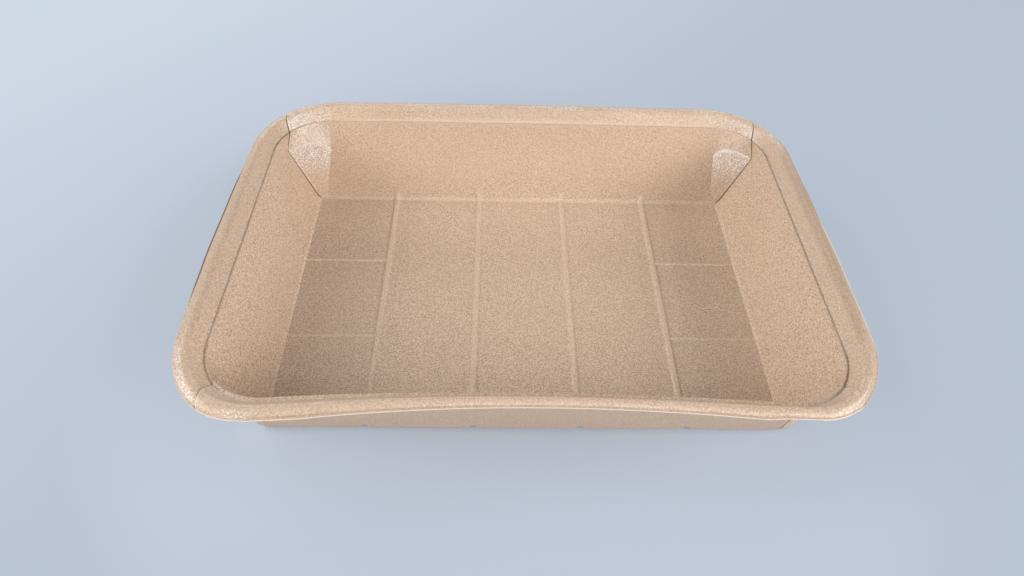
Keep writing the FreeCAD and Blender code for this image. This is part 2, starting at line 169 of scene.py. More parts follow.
# %% Rows of the fold, wall and rim
GROOVE = ((0.0, 0.0), (0.3, 0.02), (0.6, 0.0), (0.84, -0.24), (1.1, -0.42), (1.36, -0.24), (1.6, 0.0))
FLANK = (0.08, 0.25, 0.5, 0.75, 0.92)
BEAD_RADIUS = 3.4
BEAD_OUT = 7.3
BEAD_TURNS = (140, 131, 121, 111, 101, 91, 81, 70, 59, 48)
BEAD_UP = RIM_RISE - BEAD_RADIUS
LIP_UP = 3.68
SKIRT = 0.12


def rim_profile():
    """The rim from the crease to the cut edge, as a list of (out, up)."""
    round_edge = []
    for degrees in BEAD_TURNS:
        turn = math.radians(degrees)
        round_edge.append((BEAD_OUT + BEAD_RADIUS * math.cos(turn), BEAD_UP + BEAD_RADIUS * math.sin(turn)))
    foot, top = GROOVE[-1], round_edge[0]
    flank = [(foot[0] + (top[0] - foot[0]) * part, foot[1] + (top[1] - foot[1]) * part)
             for part in FLANK]
    lip = [(9.9, LIP_UP + 0.17), (10.2, LIP_UP + 0.04), (10.5, LIP_UP),
           (RIM_WIDTH - SKIRT, LIP_UP), (RIM_WIDTH, LIP_UP)]
    return list(GROOVE) + flank + round_edge + lip


FOLD_ROWS = [("fold", part) for part in (0.0, 0.12, 0.5, 0.88)]
LOWER_WALL = (0.0, 0.015, 0.04, 0.065, 0.09, 0.12, 0.16, 0.22, 0.3,
              0.4, 0.5, 0.6, 0.7, 0.8, 0.87, 0.92, 0.96, 1.0)
UPPER_WALL = (0.06, 0.12, 0.2, 0.3, 0.42, 0.55, 0.7, 0.84, 0.94)
WALL_ROWS = [("wall", part) for part in LOWER_WALL] + [("wall", 1 + part) for part in UPPER_WALL]
ROWS = FOLD_ROWS + WALL_ROWS + [("rim", place) for place in rim_profile()]
print("rows:", len(ROWS))

# %% [markdown]
# ## Guides round a corner
#
# A guide says where one column of vertices runs: its foot on the floor, the top of the fold, the arch where
# the flat gusset ends, and the direction in which it crosses the crease and the lip. On a straight wall
# those are all in one plane. In the corner the flap is folded to a flat facet that starts at a point on the
# floor, widens upwards and ends in an arch, above which the board is pressed round into the crease.


# %% Guides
BLEND = 40.0
ARCH_ROUNDING = 0.05
FOLD_TURNS = (87.5, 88)
GAP_AT_FOOT = 2.6


def eased(part):
    """0 to 1 with a soft start and a soft end."""
    part = min(1.0, max(0.0, part))
    return part * part * (3 - 2 * part)


def fade(value, none, full):
    """0 at none and 1 at full, with soft ends. Either of the two may be the larger."""
    return eased((value - none) / (full - none))


class Guide:
    """Where one column of vertices runs, from the floor to the cut edge."""

    centre = Vector((ARC_X, ARC_Y, 0))

    def __init__(self, foot, fold, arch, turns, rounds, slides, groove=1.0):
        self.places = [Vector(foot), Vector(fold), Vector(arch), *[Vector(slide) for slide in slides]]
        self.turns = [*turns, *rounds, groove]

    def mixed(self, other, part):
        """The guide that lies that part of the way to another one."""
        places = [a.lerp(b, part) for a, b in zip(self.places, other.places)]
        turns = [a + (b - a) * part for a, b in zip(self.turns, other.turns)]
        return Guide(*places[:3], turns[:2], turns[2:4], places[3:], turns[4])

    def over_rim(self, out, up):
        """A place on the rim, out from the crease and up from it."""
        across = out / RIM_WIDTH
        crease_turn, lip_turn, crease_round, lip_round, groove = self.turns
        if out < GROOVE[-1][0]:
            up *= groove
        turn = math.radians(crease_turn + (lip_turn - crease_turn) * across)
        reach = CORNER + out + crease_round + (lip_round - crease_round) * across
        level = Vector((math.cos(turn) * reach, math.sin(turn) * reach, CREASE_Z + up))
        return self.centre - self.places[3].lerp(self.places[4], across) + level

    def up_wall(self, climb):
        """A place on the wall: 0 is the fold, 1 is the arch and 2 is the crease."""
        if climb <= 1:
            return self.places[1].lerp(self.places[2], climb)
        return self.places[2].lerp(self.over_rim(0, 0), climb - 1)

    def at(self, row):
        """The place of one row of this column."""
        kind, place = row
        if kind == "rim":
            return self.over_rim(*place)
        if kind == "fold":
            return self.places[0].lerp(self.places[1], place)
        ease = min(ARCH_ROUNDING, place, 2 - place)
        return (self.up_wall(place - ease) + 2 * self.up_wall(place) + self.up_wall(place + ease)) / 4


def side_guide(x, rounds, groove):
    """A column up the long wall."""
    near = eased(1 - (ARC_X - x) / BLEND)
    slides = [(wider * near, wider, 0) for wider in rounds]
    guide = Guide((x, FLOOR_Y - SIDE_INSET, BOARD), (x, FLOOR_Y + SIDE_LEAN * FOLD_TOP, FOLD_TOP),
                  (x, FLOOR_Y + SIDE_LEAN * SIDE_ARCH, SIDE_ARCH), (90, 90), rounds, slides, groove)
    guide.centre = Vector((x, ARC_Y, 0))
    return guide


def end_guide(y, rounds, pull):
    """A column up the end wall."""
    near = eased(1 - (ARC_Y - y) / BLEND)
    slides = [(wider, wider * near, 0) for wider in rounds]
    slides[1] = (rounds[1] + pull * near, rounds[1] * near, 0)
    guide = Guide((FLOOR_X - END_INSET, y, BOARD), (FLOOR_X + END_LEAN * FOLD_TOP, y, FOLD_TOP),
                  (FLOOR_X + END_LEAN * END_ARCH, y, END_ARCH), (0, 0), rounds, slides)
    guide.centre = Vector((ARC_X, y, 0))
    return guide


# %% The folded corner
FLOOR_CORNER = Vector((FLOOR_X, FLOOR_Y, 0))
FACET_FOOT = 2.6
FACET_FOLD = FLOOR_CORNER + Vector((-4.6, 7.7, 23.7))
FACET_SEAM = FLOOR_CORNER + Vector((10.6, 0.0, END_ARCH))
ARCH_PULLS = (FLOOR_CORNER + Vector((-3.5, 8.1, 31.0)), FLOOR_CORNER + Vector((4.0, 4.0, 31.5)))

print("facet at its top, mm:", round((FACET_SEAM - FACET_FOLD).length, 1))


def arch_point(part, wider):
    """The curved top of the flat facet, from the fold to the seam, with the fold that much farther out."""
    rest = 1 - part
    shift = Vector((-wider, 0, 0))
    return (rest ** 3 * (FACET_FOLD + shift) + 3 * rest ** 2 * part * (ARCH_PULLS[0] + shift)
            + 3 * rest * part ** 2 * ARCH_PULLS[1] + part ** 3 * FACET_SEAM)


class Run:
    """A stretch of wall between two guides."""

    def __init__(self, start, end, arch=None):
        self.start = start
        self.end = end
        self.arch = arch

    def guide(self, part):
        """The guide at that part of the stretch."""
        found = self.start.mixed(self.end, part)
        if self.arch is not None:
            found.places[2] = arch_point(part, self.arch)
        return found

    def column(self, share, gap=None, from_end=False, onward=0.0):
        """All rows of one column. A gap in millimetres holds where it is less than the share.

        On the wall the gap is wider towards the foot. Onward then goes that share of the way from there
        to the end.
        """
        places = []
        for row in ROWS:
            part = share
            if gap is not None and row[0] != "fold":
                gap_here = gap
                if row[0] == "wall":
                    gap_here *= GAP_AT_FOOT - (GAP_AT_FOOT - 1) * min(1.0, row[1])
                part = min(share, gap_here / (self.end.at(row) - self.start.at(row)).length)
            part += (1 - part) * onward
            part = 1 - part if from_end else part
            places.append(self.guide(part).at(row))
        return places

# %% [markdown]
# ## The glued lap
#
# The flap lies inside the end panel, so the film face steps down by one board where the flap's cut edge
# ends, and the outer face steps out by one board where the end panel's own edge ends round the corner. Each
# column carries two numbers for that: how far its film face drops and how far its outer face stands out.
# The press squeezes the step away again within about ten millimetres. A column also carries how near it
# lies to the seam, because glints of the crumpled film are painted on there.

# %% Columns of one corner
LAP = 0.45
CREVICE = 0.22
OPEN_COLUMNS = 2
FOLD_GLINT = 0.04
FLAP_EDGE = 0.55
TO_FOLD = (0.25, 0.5, 0.7)
ON_FACET = (0.4, 0.52, 0.64, 0.75)
PANEL_EDGE = 0.28
TO_END = (0.11, 0.22, 0.34, 0.47, 0.6, 0.74, 0.88)


class Column:
    """One column of vertices with what the lap does to it."""

    def __init__(self, places, drop=0.0, out=0.0, gap=0.0, cut=0.0, crest=0.0, crush=0.0):
        self.places = places
        self.drop = drop
        self.out = out
        self.gap = gap
        self.cut = cut
        self.crest = crest
        self.crush = crush


def quarter(groove, turns, rounds, pull, wider):
    """Columns from the middle of a long wall, round a corner, to the middle of an end wall."""
    corner_foot = (FLOOR_X - END_INSET, FLOOR_Y - SIDE_INSET, BOARD)
    slides = [(wider, wider, 0) for wider in rounds]
    fold = Guide(corner_foot, FLOOR_CORNER + Vector((-FACET_FOOT, SIDE_LEAN * FOLD_TOP, FOLD_TOP)),
                 arch_point(0, wider), FOLD_TURNS, rounds, slides, groove)
    seam = Guide(corner_foot, FLOOR_CORNER + Vector((END_LEAN * FOLD_TOP, 0, FOLD_TOP)), FACET_SEAM,
                 turns, rounds, slides)
    to_fold = Run(side_guide(ARC_X, rounds, groove), fold)
    facet = Run(fold, seam, arch=wider)
    panel = Run(seam, end_guide(ARC_Y, rounds, pull))

    columns = [Column([side_guide(x, rounds, groove).at(row) for row in ROWS]) for x in along_side]
    columns += [Column(to_fold.column(share)) for share in TO_FOLD]
    columns += [Column(to_fold.column(*near, from_end=True)) for near in reversed(NEAR_FOLD)]
    # painted glints of the crumpled film grow towards the seam
    columns += [Column(facet.column(0), crush=FOLD_GLINT)]
    columns += [Column(facet.column(*near), crest=1, crush=near[0]) for near in NEAR_FOLD]
    columns += [Column(facet.column(PANEL_EDGE), crest=1, crush=PANEL_EDGE),
                Column(facet.column(PANEL_EDGE + 0.01), out=LAP, crest=1, crush=PANEL_EDGE)]
    columns += [Column(facet.column(share), out=LAP, crest=1, crush=share) for share in ON_FACET]
    columns += [Column(facet.column(*near, from_end=True), out=LAP, crest=1, crush=1 - near[0])
                for near in reversed(NEAR_EDGE)]
    columns += [Column(facet.column(1), out=LAP, cut=FLAP_EDGE, crush=1)]
    # the first columns past the flap's edge hold the crevice, and shadow is painted in it
    for index, near in enumerate(NEAR_LAP):
        open_gap = 1.0 if index < OPEN_COLUMNS else 0.0
        step = LAP * (1 - near[0])
        columns += [Column(panel.column(*near), step + CREVICE * open_gap, step, open_gap)]
    share, gap = NEAR_LAP[-1]
    for onward in TO_END:
        step = LAP * (1 - share) * (1 - onward)
        columns += [Column(panel.column(share, gap, onward=onward), step, step)]
    columns += [Column([end_guide(y, rounds, pull).at(row) for row in ROWS]) for y in reversed(along_end)]
    return columns


# %% [markdown]
# ## Four corners, one loop
#
# One corner is worked out and turned over into the other three. No two corners of a glued tray close quite
# alike, so each has its own numbers: the direction in which its seam crosses the crease and then the lip,
# how much wider the round is there than the die's own at each, how far the end wall's lip is pulled in
# beside it, and how far the fold of its facet has moved along the long wall, which widens the facet. Along
# the front the groove has been pulled flat again.

# %% Go once round the tray
CORNERS = (((1, 1), ((35, 53), (0, 4.6), 1.4, 0.3)), ((1, -1), ((39, 51), (0, 3.2), 1.6, 1.5)),
           ((-1, -1), ((43, 57), (1.5, 0.8), 2.0, 1.5)), ((-1, 1), ((36, 49), (0, 5.2), 1.8, 2.7)))

loop = []
for (side_x, side_y), closing in CORNERS:
    part = quarter(max(side_y, 0), *closing)
    if side_x != side_y:
        part.reverse()
    for column in part:
        column.places = [Vector((p.x * side_x, p.y * side_y, p.z)) for p in column.places]
    loop += part[1:] if loop else part
print("columns round the tray:", len(loop))


# %% [markdown]
# ## From a flat grid to the pressed tray
#
# Two flat grids stand for the blank: one for the floor and one for the walls and rim, rolled into a loop.
# A vertex's own place on its flat grid says which column and row it is, and so where the press sends it.
# The grids are then joined and the vertices that meet are merged, which leaves one sheet with no seam in it.

# %% Press a grid
def pressed_grid(name, places, values):
    """A flat grid whose vertices go to places[column][row], with one value layer for each name in values."""
    across = len(places) - 1
    up = len(places[0]) - 1
    bpy.ops.mesh.primitive_grid_add(x_subdivisions=across, y_subdivisions=up, size=1)
    sheet = bpy.context.object
    sheet.name = name
    slots = [(round((vertex.co.x + 0.5) * across), round((vertex.co.y + 0.5) * up))
             for vertex in sheet.data.vertices]
    for vertex, (column, row) in zip(sheet.data.vertices, slots):
        vertex.co = places[column][row] * MM
    for key, table in values.items():
        layer = sheet.data.attributes.new(key, "FLOAT", "POINT")
        for item, (column, row) in zip(layer.data, slots):
            item.value = table[column][row]
    return sheet


# %% [markdown]
# ## What is painted on the film
#
# The film is crumpled over the corners, beside the seams and on parts of the rim's bead. The light it catches
# there is painted on as glints, with a painted reflection on the facets and a painted highlight along the
# arch. The grooves in the corners, soft bands along the rim and a strip behind the front lip get painted
# shade, and the crevice at the flap's edge gets painted shadow. The cut edge is pale pulp. It is painted
# nearly as pale beside the right end's edge and darker along the left end's. Here these are colour only and
# have no
# shape: a vertex carries a number for each, and the material reads it as an attribute. Most are products of
# stretches that fade in and out, in millimetres.

# %% Marks on the film
LAP_RISE = 0.06
ARCH_HIGHLIGHT_HALF = 0.07
GROOVE_DEPTH = -min(up for out, up in GROOVE)
# strengths of the painted glints and painted reflection of the crumpled film
# pairs: left and right, or front and back
ABOVE_ARCH_GLINT = (0.35, 0.1)
FACET_GLINT = (1.5, 1.8)
RIM_GLINT = (0.4, 0.75)
SHADE_REACH = (19, 14)
BACK_BEAD_GLINT = 0.7
FRONT_GLINT = 1.0
FRONT_GLINT_OUT = 9.2
GLINT_PATCH = 14
# strength of the highlight painted along the arch at the left corners
LEFT_ARCH_HIGHLIGHT = 0.5
# strengths of the shade painted in the corner grooves, on the front left ledge and in soft bands along the
# rim
CORNER_SHADE = 0.5
LEDGE_SHADE = 0.55
BAND_OUT = 6.6
BAND_HALF = 2.4
LEFT_BAND = 0.19
RIGHT_BAND = 0.28
BACK_BAND = 0.16
RIGHT_SIDE = 0.28
BACK_SIDE = 0.25
# strips by the cut edge: painted shade behind the front lip, a pale strip at the right end and a darker edge
# at the left
EDGE_STRIP = 0.45
VALLEY_STRIP = 1.0
VALLEY_SHADE = 0.3
# along an end: none, full, still full, gone
DARK_LEFT_EDGE = (-42, -30, 30, 38)
PALE = (-60, -50, 5, 15)


def stretch(value, none, full, still, gone):
    """1 between full and still, 0 outside none and gone, and soft between."""
    return fade(value, none, full) * fade(value, gone, still)


def stripe(value, middle, half, steep):
    """1 along the middle of a stripe and 0 past its edges."""
    return eased(steep * (1 - abs(value - middle) / half))


def lap_share(row):
    """How much of the lap's step a row has: none at the floor, all of it a little way up."""
    kind, place = row
    if kind == "fold":
        return 0.0
    return eased(place / LAP_RISE) if kind == "wall" else 1.0


def crevice_shadow_share(row):
    """How much shadow is painted in the crevice at the flap's edge: none at the foot of the fold, all of it
    from its top on.
    """
    kind, place = row
    return place if kind == "fold" else 1.0


def arch_highlight_share(row):
    """How near a row is to the arch, along which a highlight is painted."""
    return max(0.0, 1 - abs(row[1] - 1) / ARCH_HIGHLIGHT_HALF) if row[0] == "wall" else 0.0


def painted_glint_mark(row, place, across):
    """How bright the painted glints and reflection of the crumpled film are. Across is how near the column
    lies to the seam.
    """
    kind, height = row
    if kind == "fold":
        return 0.0
    if kind == "wall":
        near = min(1.0, across / 0.15)
        if height > 1:
            return near * ABOVE_ARCH_GLINT[place.x > 0]
        return near * fade(height, 0.3, 0.85) * FACET_GLINT[place.x > 0]
    out = height[0]
    patchy = eased(0.5 + 1.5 * noise.noise(place / GLINT_PATCH))
    bead = BACK_BEAD_GLINT * patchy * stripe(out, BEAD_OUT, 2.6, 1.5) * (place.y > ARC_Y)
    if place.x < 0:
        corner = fade(place.y, 22 - ARC_Y, 2 - ARC_Y) * fade(place.x, 6 - ARC_X, -6 - ARC_X)
        bead = max(bead, FRONT_GLINT * corner * patchy * stripe(out, FRONT_GLINT_OUT, 1.9, 1.5))
    return max(bead, RIM_GLINT[place.y > 0] * eased(1.6 * across) * fade(out, 7, 4))


def rim_shade_share(row):
    """How deep in the groove at the foot of the rim a row lies, how far into the band of painted shade across
    the rim, and whether it is on the ledge or in the groove at all."""
    kind, place = row
    if kind != "rim":
        return 0.0, 0.0, 0.0
    band = stripe(place[0], BAND_OUT, BAND_HALF, 1.6)
    return max(0.0, -place[1]) / GROOVE_DEPTH, band, float(place[0] < GROOVE[-1][0])


def rim_shade_mark(place, groove, band, ledge):
    """How much shade is painted on the rim: in its grooves in the corners only, and in soft bands at the ends
    and the back.
    """
    past_side = place.y - CREASE_Y
    past_end = place.x - CREASE_X
    if place.x < 0 and place.y < 0:
        groove = max(groove, LEDGE_SHADE * ledge)
    reach = ARC_X + SHADE_REACH[place.y > 0]
    on_side = fade(abs(place.x), reach, reach - 8)
    on_end = fade(abs(place.y), ARC_Y + 4, ARC_Y - 6)
    dark = CORNER_SHADE * (1 - on_side) * (1 - on_end)
    shaded = BACK_BAND * stretch(past_side, 1.8, 3.3, 3.5, 6.5) * stretch(place.x, -80, -65, 40, 55)
    shaded += RIGHT_SIDE * fade(past_end, 6.8, 8.8) * fade(place.y, -58, -38)
    shaded += BACK_SIDE * fade(past_side, 8.2, 9.7) * fade(abs(place.x), ARC_X + 10, ARC_X - 10)
    return groove * dark + shaded + band * on_end * (RIGHT_BAND if place.x > 0 else LEFT_BAND)


def edge_mark(row, place):
    """What the cut edge and the strip beside it look like: 1 is pale bare pulp, and nearly as pale is painted
    beside the right end's edge. Below 0 is darker: painted shade behind the front lip, and a darker left end
    edge.
    """
    kind, profile = row
    if kind != "rim" or profile[0] < RIM_WIDTH - VALLEY_STRIP:
        return 0.0
    if profile[0] < RIM_WIDTH - EDGE_STRIP:
        return -VALLEY_SHADE * fade(abs(place.x), ARC_X + 8, ARC_X - 7) * (place.y < 0)
    dark_left = stretch(place.y, *DARK_LEFT_EDGE) * (place.x < 0)
    pale = stretch(place.y, *PALE) * (place.x > 0)
    last = profile[0] >= RIM_WIDTH
    return (1.0 if last else 0.8 * pale) - (2.0 if last else 1.0) * dark_left


# %% [markdown]
# ## Two grids become one sheet
#
# The walls' grid takes its columns from the loop. The floor's grid has its lines just where those columns
# stand, so every vertex along the fold has a partner that it can be merged with.

# %% The walls' grid
shares = [lap_share(row) for row in ROWS]
rim_shade_shares = [rim_shade_share(row) for row in ROWS]
# the film face's drop and the outer face's step move vertices; the other layers are colour: painted shadow in
# the seam's crevice, painted shade on the rim, the pale cut edge with painted shade beside it, a painted
# highlight along the arch and painted glints of crumpled film
wall_values = {
    "drop": [[column.drop * share for share in shares] for column in loop],
    "out": [[column.out * share for share in shares] for column in loop],
    "gap": [[column.gap * crevice_shadow_share(row) for row in ROWS] for column in loop],
    "score": [[rim_shade_mark(place, *score) for place, score in zip(column.places, rim_shade_shares)] for column in loop],
    "cut": [[column.cut * share + edge_mark(row, place)
             for row, place, share in zip(ROWS, column.places, shares)] for column in loop],
    "crest": [[column.crest * arch_highlight_share(row) * (1.0 if place.x > 0 else LEFT_ARCH_HIGHLIGHT)
               for row, place in zip(ROWS, column.places)] for column in loop],
    "crush": [[painted_glint_mark(row, place, column.crush) for row, place in zip(ROWS, column.places)]
              for column in loop],
}
for old in bpy.context.selected_objects:
    old.select_set(False)
walls = pressed_grid("walls", [column.places for column in loop], wall_values)
print("walls:", len(walls.data.vertices), "vertices")

# %% The floor's grid, with its lines where the columns stand
foot_x = FLOOR_X - END_INSET
foot_y = FLOOR_Y - SIDE_INSET
shares_x = list(TO_FOLD) + [1 - share for share, gap in reversed(NEAR_FOLD)] + [1]
last_share = NEAR_LAP[-1][0]
shares_y = [last_share + (1 - last_share) * onward for onward in reversed(TO_END)]
shares_y += [share for share, gap in reversed(NEAR_LAP)] + [0]
half_x = along_side + [ARC_X + (foot_x - ARC_X) * share for share in shares_x]
half_y = along_end + [foot_y + (ARC_Y - foot_y) * share for share in shares_y]
lines_x = [-x for x in reversed(half_x[1:])] + half_x
lines_y = [-y for y in reversed(half_y[1:])] + half_y
flat = [[0.0] * len(lines_y) for x in lines_x]
floor_places = [[Vector((x, y, BOARD)) for y in lines_y] for x in lines_x]
pressed_grid("floor", floor_places, {key: flat for key in wall_values})
print("floor:", len(lines_x), "by", len(lines_y), "lines")

# %% One sheet
walls.select_set(True)
bpy.ops.object.join()
tray = bpy.context.object
tray.name = "tray_board"
bpy.ops.object.mode_set(mode="EDIT")
bpy.ops.mesh.select_all(action="SELECT")
bpy.ops.mesh.remove_doubles(threshold=0.01 * MM)
bpy.ops.mesh.normals_make_consistent(inside=False)
bpy.ops.object.mode_set(mode="OBJECT")
middle = min(tray.data.polygons, key=lambda face: face.center.length)
if middle.normal.z < 0:
    tray.data.flip_normals()
print("one sheet:", len(tray.data.vertices), "vertices,", len(tray.data.polygons), "faces")

# %% [markdown]
# ## Beads, cross creases and the hand of the press
#
# The four beads stiffen the floor and run a few millimetres up the long walls. In the two end bays thin
# creases cross the floor. Each vertex gets its rise along its own normal, which keeps the ridge square to
# the board on the floor, over the fold and on the wall alike. The rise waits until the board has its
# thickness and then moves both faces alike, as the two halves of a die do.


# %% Raise the ridges
def ridge(distance, half):
    """A ridge with a flat top and soft sides, 1 on its line and 0 past its foot."""
    return eased((1 - abs(distance) / half) / 0.6)


def ridges(place):
    """How much of a bead and of a cross crease there is at a place on the sheet."""
    up = 1 - eased((place.z - FOLD_TOP) / CLIMB)
    bead = max(ridge(abs(place.x) - row, BEAD_HALF) for row in BEADS)
    bay = eased((abs(place.x) - BEADS[1]) / BEAD_HALF)
    return up * bead, up * ridge(abs(place.y) - CREASE_ROW, CROSS_HALF) * bay


def fold_highlight(place):
    """How much highlight is painted on the edges of the crushed strip along the floor folds and of the back
    groove.
    """
    past = place.y - CREASE_Y
    along = eased((ARC_X - abs(place.x)) / 6)
    groove = along * max(ridge(past - GROOVE[1][0], FOLD_HIGHLIGHT_HALF), ridge(past - GROOVE[-1][0], FOLD_HIGHLIGHT_HALF))
    inset = max(abs(place.x) - foot_x, abs(place.y) - foot_y)
    strip = ridge(min(inset, 0.0) + max(place.z - FOLD_TOP, 0.0), FOLD_HIGHLIGHT_HALF)
    return max(groove, strip * (SIDE_HIGHLIGHT if abs(place.x) < foot_x else END_HIGHLIGHT))


# a layer for the highlight painted along beads, cross creases, floor folds and the back groove's edges
rub = tray.data.attributes.new("rub", "FLOAT", "POINT")
rises = []
for vertex in tray.data.vertices:
    place = vertex.co / MM
    bead, cross = ridges(place)
    rub.data[vertex.index].value = max(bead, CROSS_HIGHLIGHT * cross, fold_highlight(place))
    rises.append(vertex.normal * max(BEAD_HEIGHT * bead, CROSS_HEIGHT * cross) * MM)
print("vertices on a ridge:", sum(rise.length > 0 for rise in rises))

# %% [markdown]
# A glued tray is never quite true. The long wall at the front is drawn in by nearly four millimetres, a
# little left of its middle, and its rim narrows and sags there. The end rims stand out near the front corners
# and are drawn in towards the back. The back wall bows out a little, and flat board is faintly wavy.

# %% Let the walls bow
FRONT_BOW = 3.8
FRONT_MIDDLE = -14.0
FRONT_SPANS = (92.0, 112.0)
RIM_DRAWS = ((12, 88, 3.4), (93, 16, 1.8))
BACK_BOW = 0.66
RIM_SAG = 0.15
# middle, half length and most, of each stretch
END_SWINGS = ((-48, 26, 1.25), (18, 30, -0.6))
WAVE = 0.16
WAVE_LENGTH = 38


def hump(place, middle, half):
    """1 in the middle of a stretch and 0 past its ends."""
    return max(0.0, 1 - ((place - middle) / half) ** 2)


def bowed(place):
    """Where a place on the true sheet goes on the bowed tray."""
    height = min(1.0, max(0.0, (place.z - FOLD_TOP) / (CREASE_Z - FOLD_TOP)))
    past_end = max(0.0, abs(place.x) - CREASE_X) / RIM_WIDTH
    swing = sum(most * hump(place.y, middle, half) ** 2 for middle, half, most in END_SWINGS)
    place = place + Vector((math.copysign(past_end, place.x) * swing, 0, 0))
    if place.y > 0:
        return place + Vector((0, BACK_BOW * hump(place.x, 0, ARC_X) * height, 0))
    span = hump(place.x, FRONT_MIDDLE, FRONT_SPANS[place.x > FRONT_MIDDLE])
    near = fade(-place.y, 20, 60)
    past_side = max(0.0, -place.y - CREASE_Y) / RIM_WIDTH
    draw = sum(most * hump(place.x, middle, half) for middle, half, most in RIM_DRAWS)
    inward = FRONT_BOW * span * height * near + past_side * draw
    sag = RIM_SAG * span * max(0.0, place.z - CREASE_Z)
    return place + Vector((0, inward, -sag))


normals = [vertex.normal.copy() for vertex in tray.data.vertices]
farthest = 0.0
for vertex, normal in zip(tray.data.vertices, normals):
    place = vertex.co / MM
    wave = noise.noise(place / WAVE_LENGTH) * WAVE * fade(place.z, FOLD_TOP, FOLD_TOP + 12)
    moved = bowed(place) + normal * wave
    farthest = max(farthest, (moved - place).length)
    vertex.co = moved * MM
tray.data.update()
print("farthest move, mm:", round(farthest, 1))

# %% [markdown]
# ## Thickness
#
# The sheet so far is only the film face. Solidify gives it the thickness of the board and closes the cut
# edge. It adds the outer face after the film face and in the same order, so the first half of the vertices
# can then take the drop at the flap's edge and the second half the step of the end panel's edge.

# %% Thicken the board and lay the flaps
normals = [vertex.normal.copy() for vertex in tray.data.vertices]
film_count = len(normals)

bpy.ops.object.modifier_add(type="SOLIDIFY")
solidify = tray.modifiers[-1]
solidify.thickness = BOARD * MM
solidify.offset = -1
solidify.use_even_offset = True
bpy.ops.object.modifier_apply(modifier=solidify.name)

mesh = tray.data
drops = [item.value for item in mesh.attributes["drop"].data]
outs = [item.value for item in mesh.attributes["out"].data]
film = mesh.attributes.new("film", "FLOAT", "POINT")
for index, vertex in enumerate(mesh.vertices):
    on_film = index < film_count
    push = drops[index] if on_film else outs[index]
    vertex.co += rises[index % film_count] - normals[index % film_count] * push * MM
    film.data[index].value = 1.0 if on_film else 0.0
mesh.update()
bpy.ops.object.shade_smooth_by_angle(angle=math.radians(38))
print("board with its thickness:", len(mesh.vertices), "vertices,", len(mesh.polygons), "faces")

# %% [markdown]
# ## Writing shader sums
#
# A material is a set of nodes wired together. The small class below wraps one socket, so that a sum such as
# `0.5 + 0.2 * grain` adds its Math nodes by itself. Its `node` method adds any other node, `between` turns a
# range into 0 to 1, and `blend` mixes two colours.


# %% Shader helpers
class Wire:
    """A value on its way through a material's nodes."""

    def __init__(self, tree, socket=None):
        self.tree = tree
        self.socket = socket

    def node(self, kind, settings=(), inputs=(), output=0):
        """Add a node: its settings first, then a value or a wire for each named input."""
        made = self.tree.nodes.new(kind)
        for name, setting in dict(settings).items():
            if name == "stops":
                ramp = made.color_ramp.elements
                while len(ramp) < len(setting):
                    ramp.new(1.0)
                for stop, (position, color) in zip(ramp, setting):
                    stop.position = position
                    stop.color = (*color, 1)
            else:
                setattr(made, name, setting)
        for name, value in dict(inputs).items():
            if isinstance(value, Wire):
                self.tree.links.new(value.socket, made.inputs[name])
            else:
                made.inputs[name].default_value = value
        return Wire(self.tree, made.outputs[output])

    def math(self, operation, first, second=0.0):
        return self.node("ShaderNodeMath", {"operation": operation}, {0: first, 1: second})

    def __add__(self, other):
        return self.math("ADD", self, other)

    def __radd__(self, other):
        return self.math("ADD", other, self)

    def __sub__(self, other):
        return self.math("SUBTRACT", self, other)

    def __rsub__(self, other):
        return self.math("SUBTRACT", other, self)

    def __mul__(self, other):
        return self.math("MULTIPLY", self, other)

    def __rmul__(self, other):
        return self.math("MULTIPLY", other, self)

    def between(self, low, high):
        """This value as a share of the way from low to high, from 0 to 1."""
        return self.node("ShaderNodeMapRange", {}, {"Value": self, "From Min": low, "From Max": high})

    def blend(self, low, high):
        """A colour mixed by this value, from low to high."""
        mix = self.tree.nodes.new("ShaderNodeMix")
        mix.data_type = "RGBA"
        for slot, value in ((0, self), (6, low), (7, high)):
            if isinstance(value, Wire):
                self.tree.links.new(value.socket, mix.inputs[slot])
            else:
                mix.inputs[slot].default_value = (*value, 1)
        return Wire(self.tree, mix.outputs[2])


def new_material(name):
    """A material with an empty tree of nodes, and a wire to start from."""
    material = bpy.data.materials.new(name)
    material.use_nodes = True
    material.node_tree.nodes.clear()
    return material, Wire(material.node_tree)


def finish_material(start, shader):
    """Wire a shader to the material's output."""
    output = start.tree.nodes.new("ShaderNodeOutputMaterial")
    start.tree.links.new(shader.socket, output.inputs["Surface"])


# %% [markdown]
# ## Kraft board under film
#
# Kraft board is unbleached pulp: a warm tan with fine fibres a little lighter and darker than the rest. The
# film over it is not flat. It follows the fibres, so its shine breaks up into fine specks. On beads, folds
# and the edges of the back groove a paler tint is painted on as a highlight. Crumpled film catches the light
# in small spots. Those are painted on as a paler tint as well, and the creases themselves aren't shaped.
# Shade in the corner grooves, along the rim and in the seam's crevice is painted on as darker browns.

# %% Kraft material
TAN = (0.540, 0.385, 0.272)
TAN_DARK = (0.335, 0.229, 0.153)
TAN_LIGHT = (0.795, 0.610, 0.469)
HIGHLIGHT_TAN = (0.700, 0.540, 0.415)
BARE_BACK = (0.545, 0.400, 0.300)
DEEP_SHADE_BROWN = (0.130, 0.070, 0.040)
RIM_SHADE_BROWN = (0.270, 0.165, 0.100)
CUT_EDGE = (0.800, 0.690, 0.570)
GLINT = (0.90, 0.85, 0.83)
# metres: where the board turns calmer
BACK_WALL = (0.060, 0.070)
RIM_FOOT = (0.0365, 0.0385)


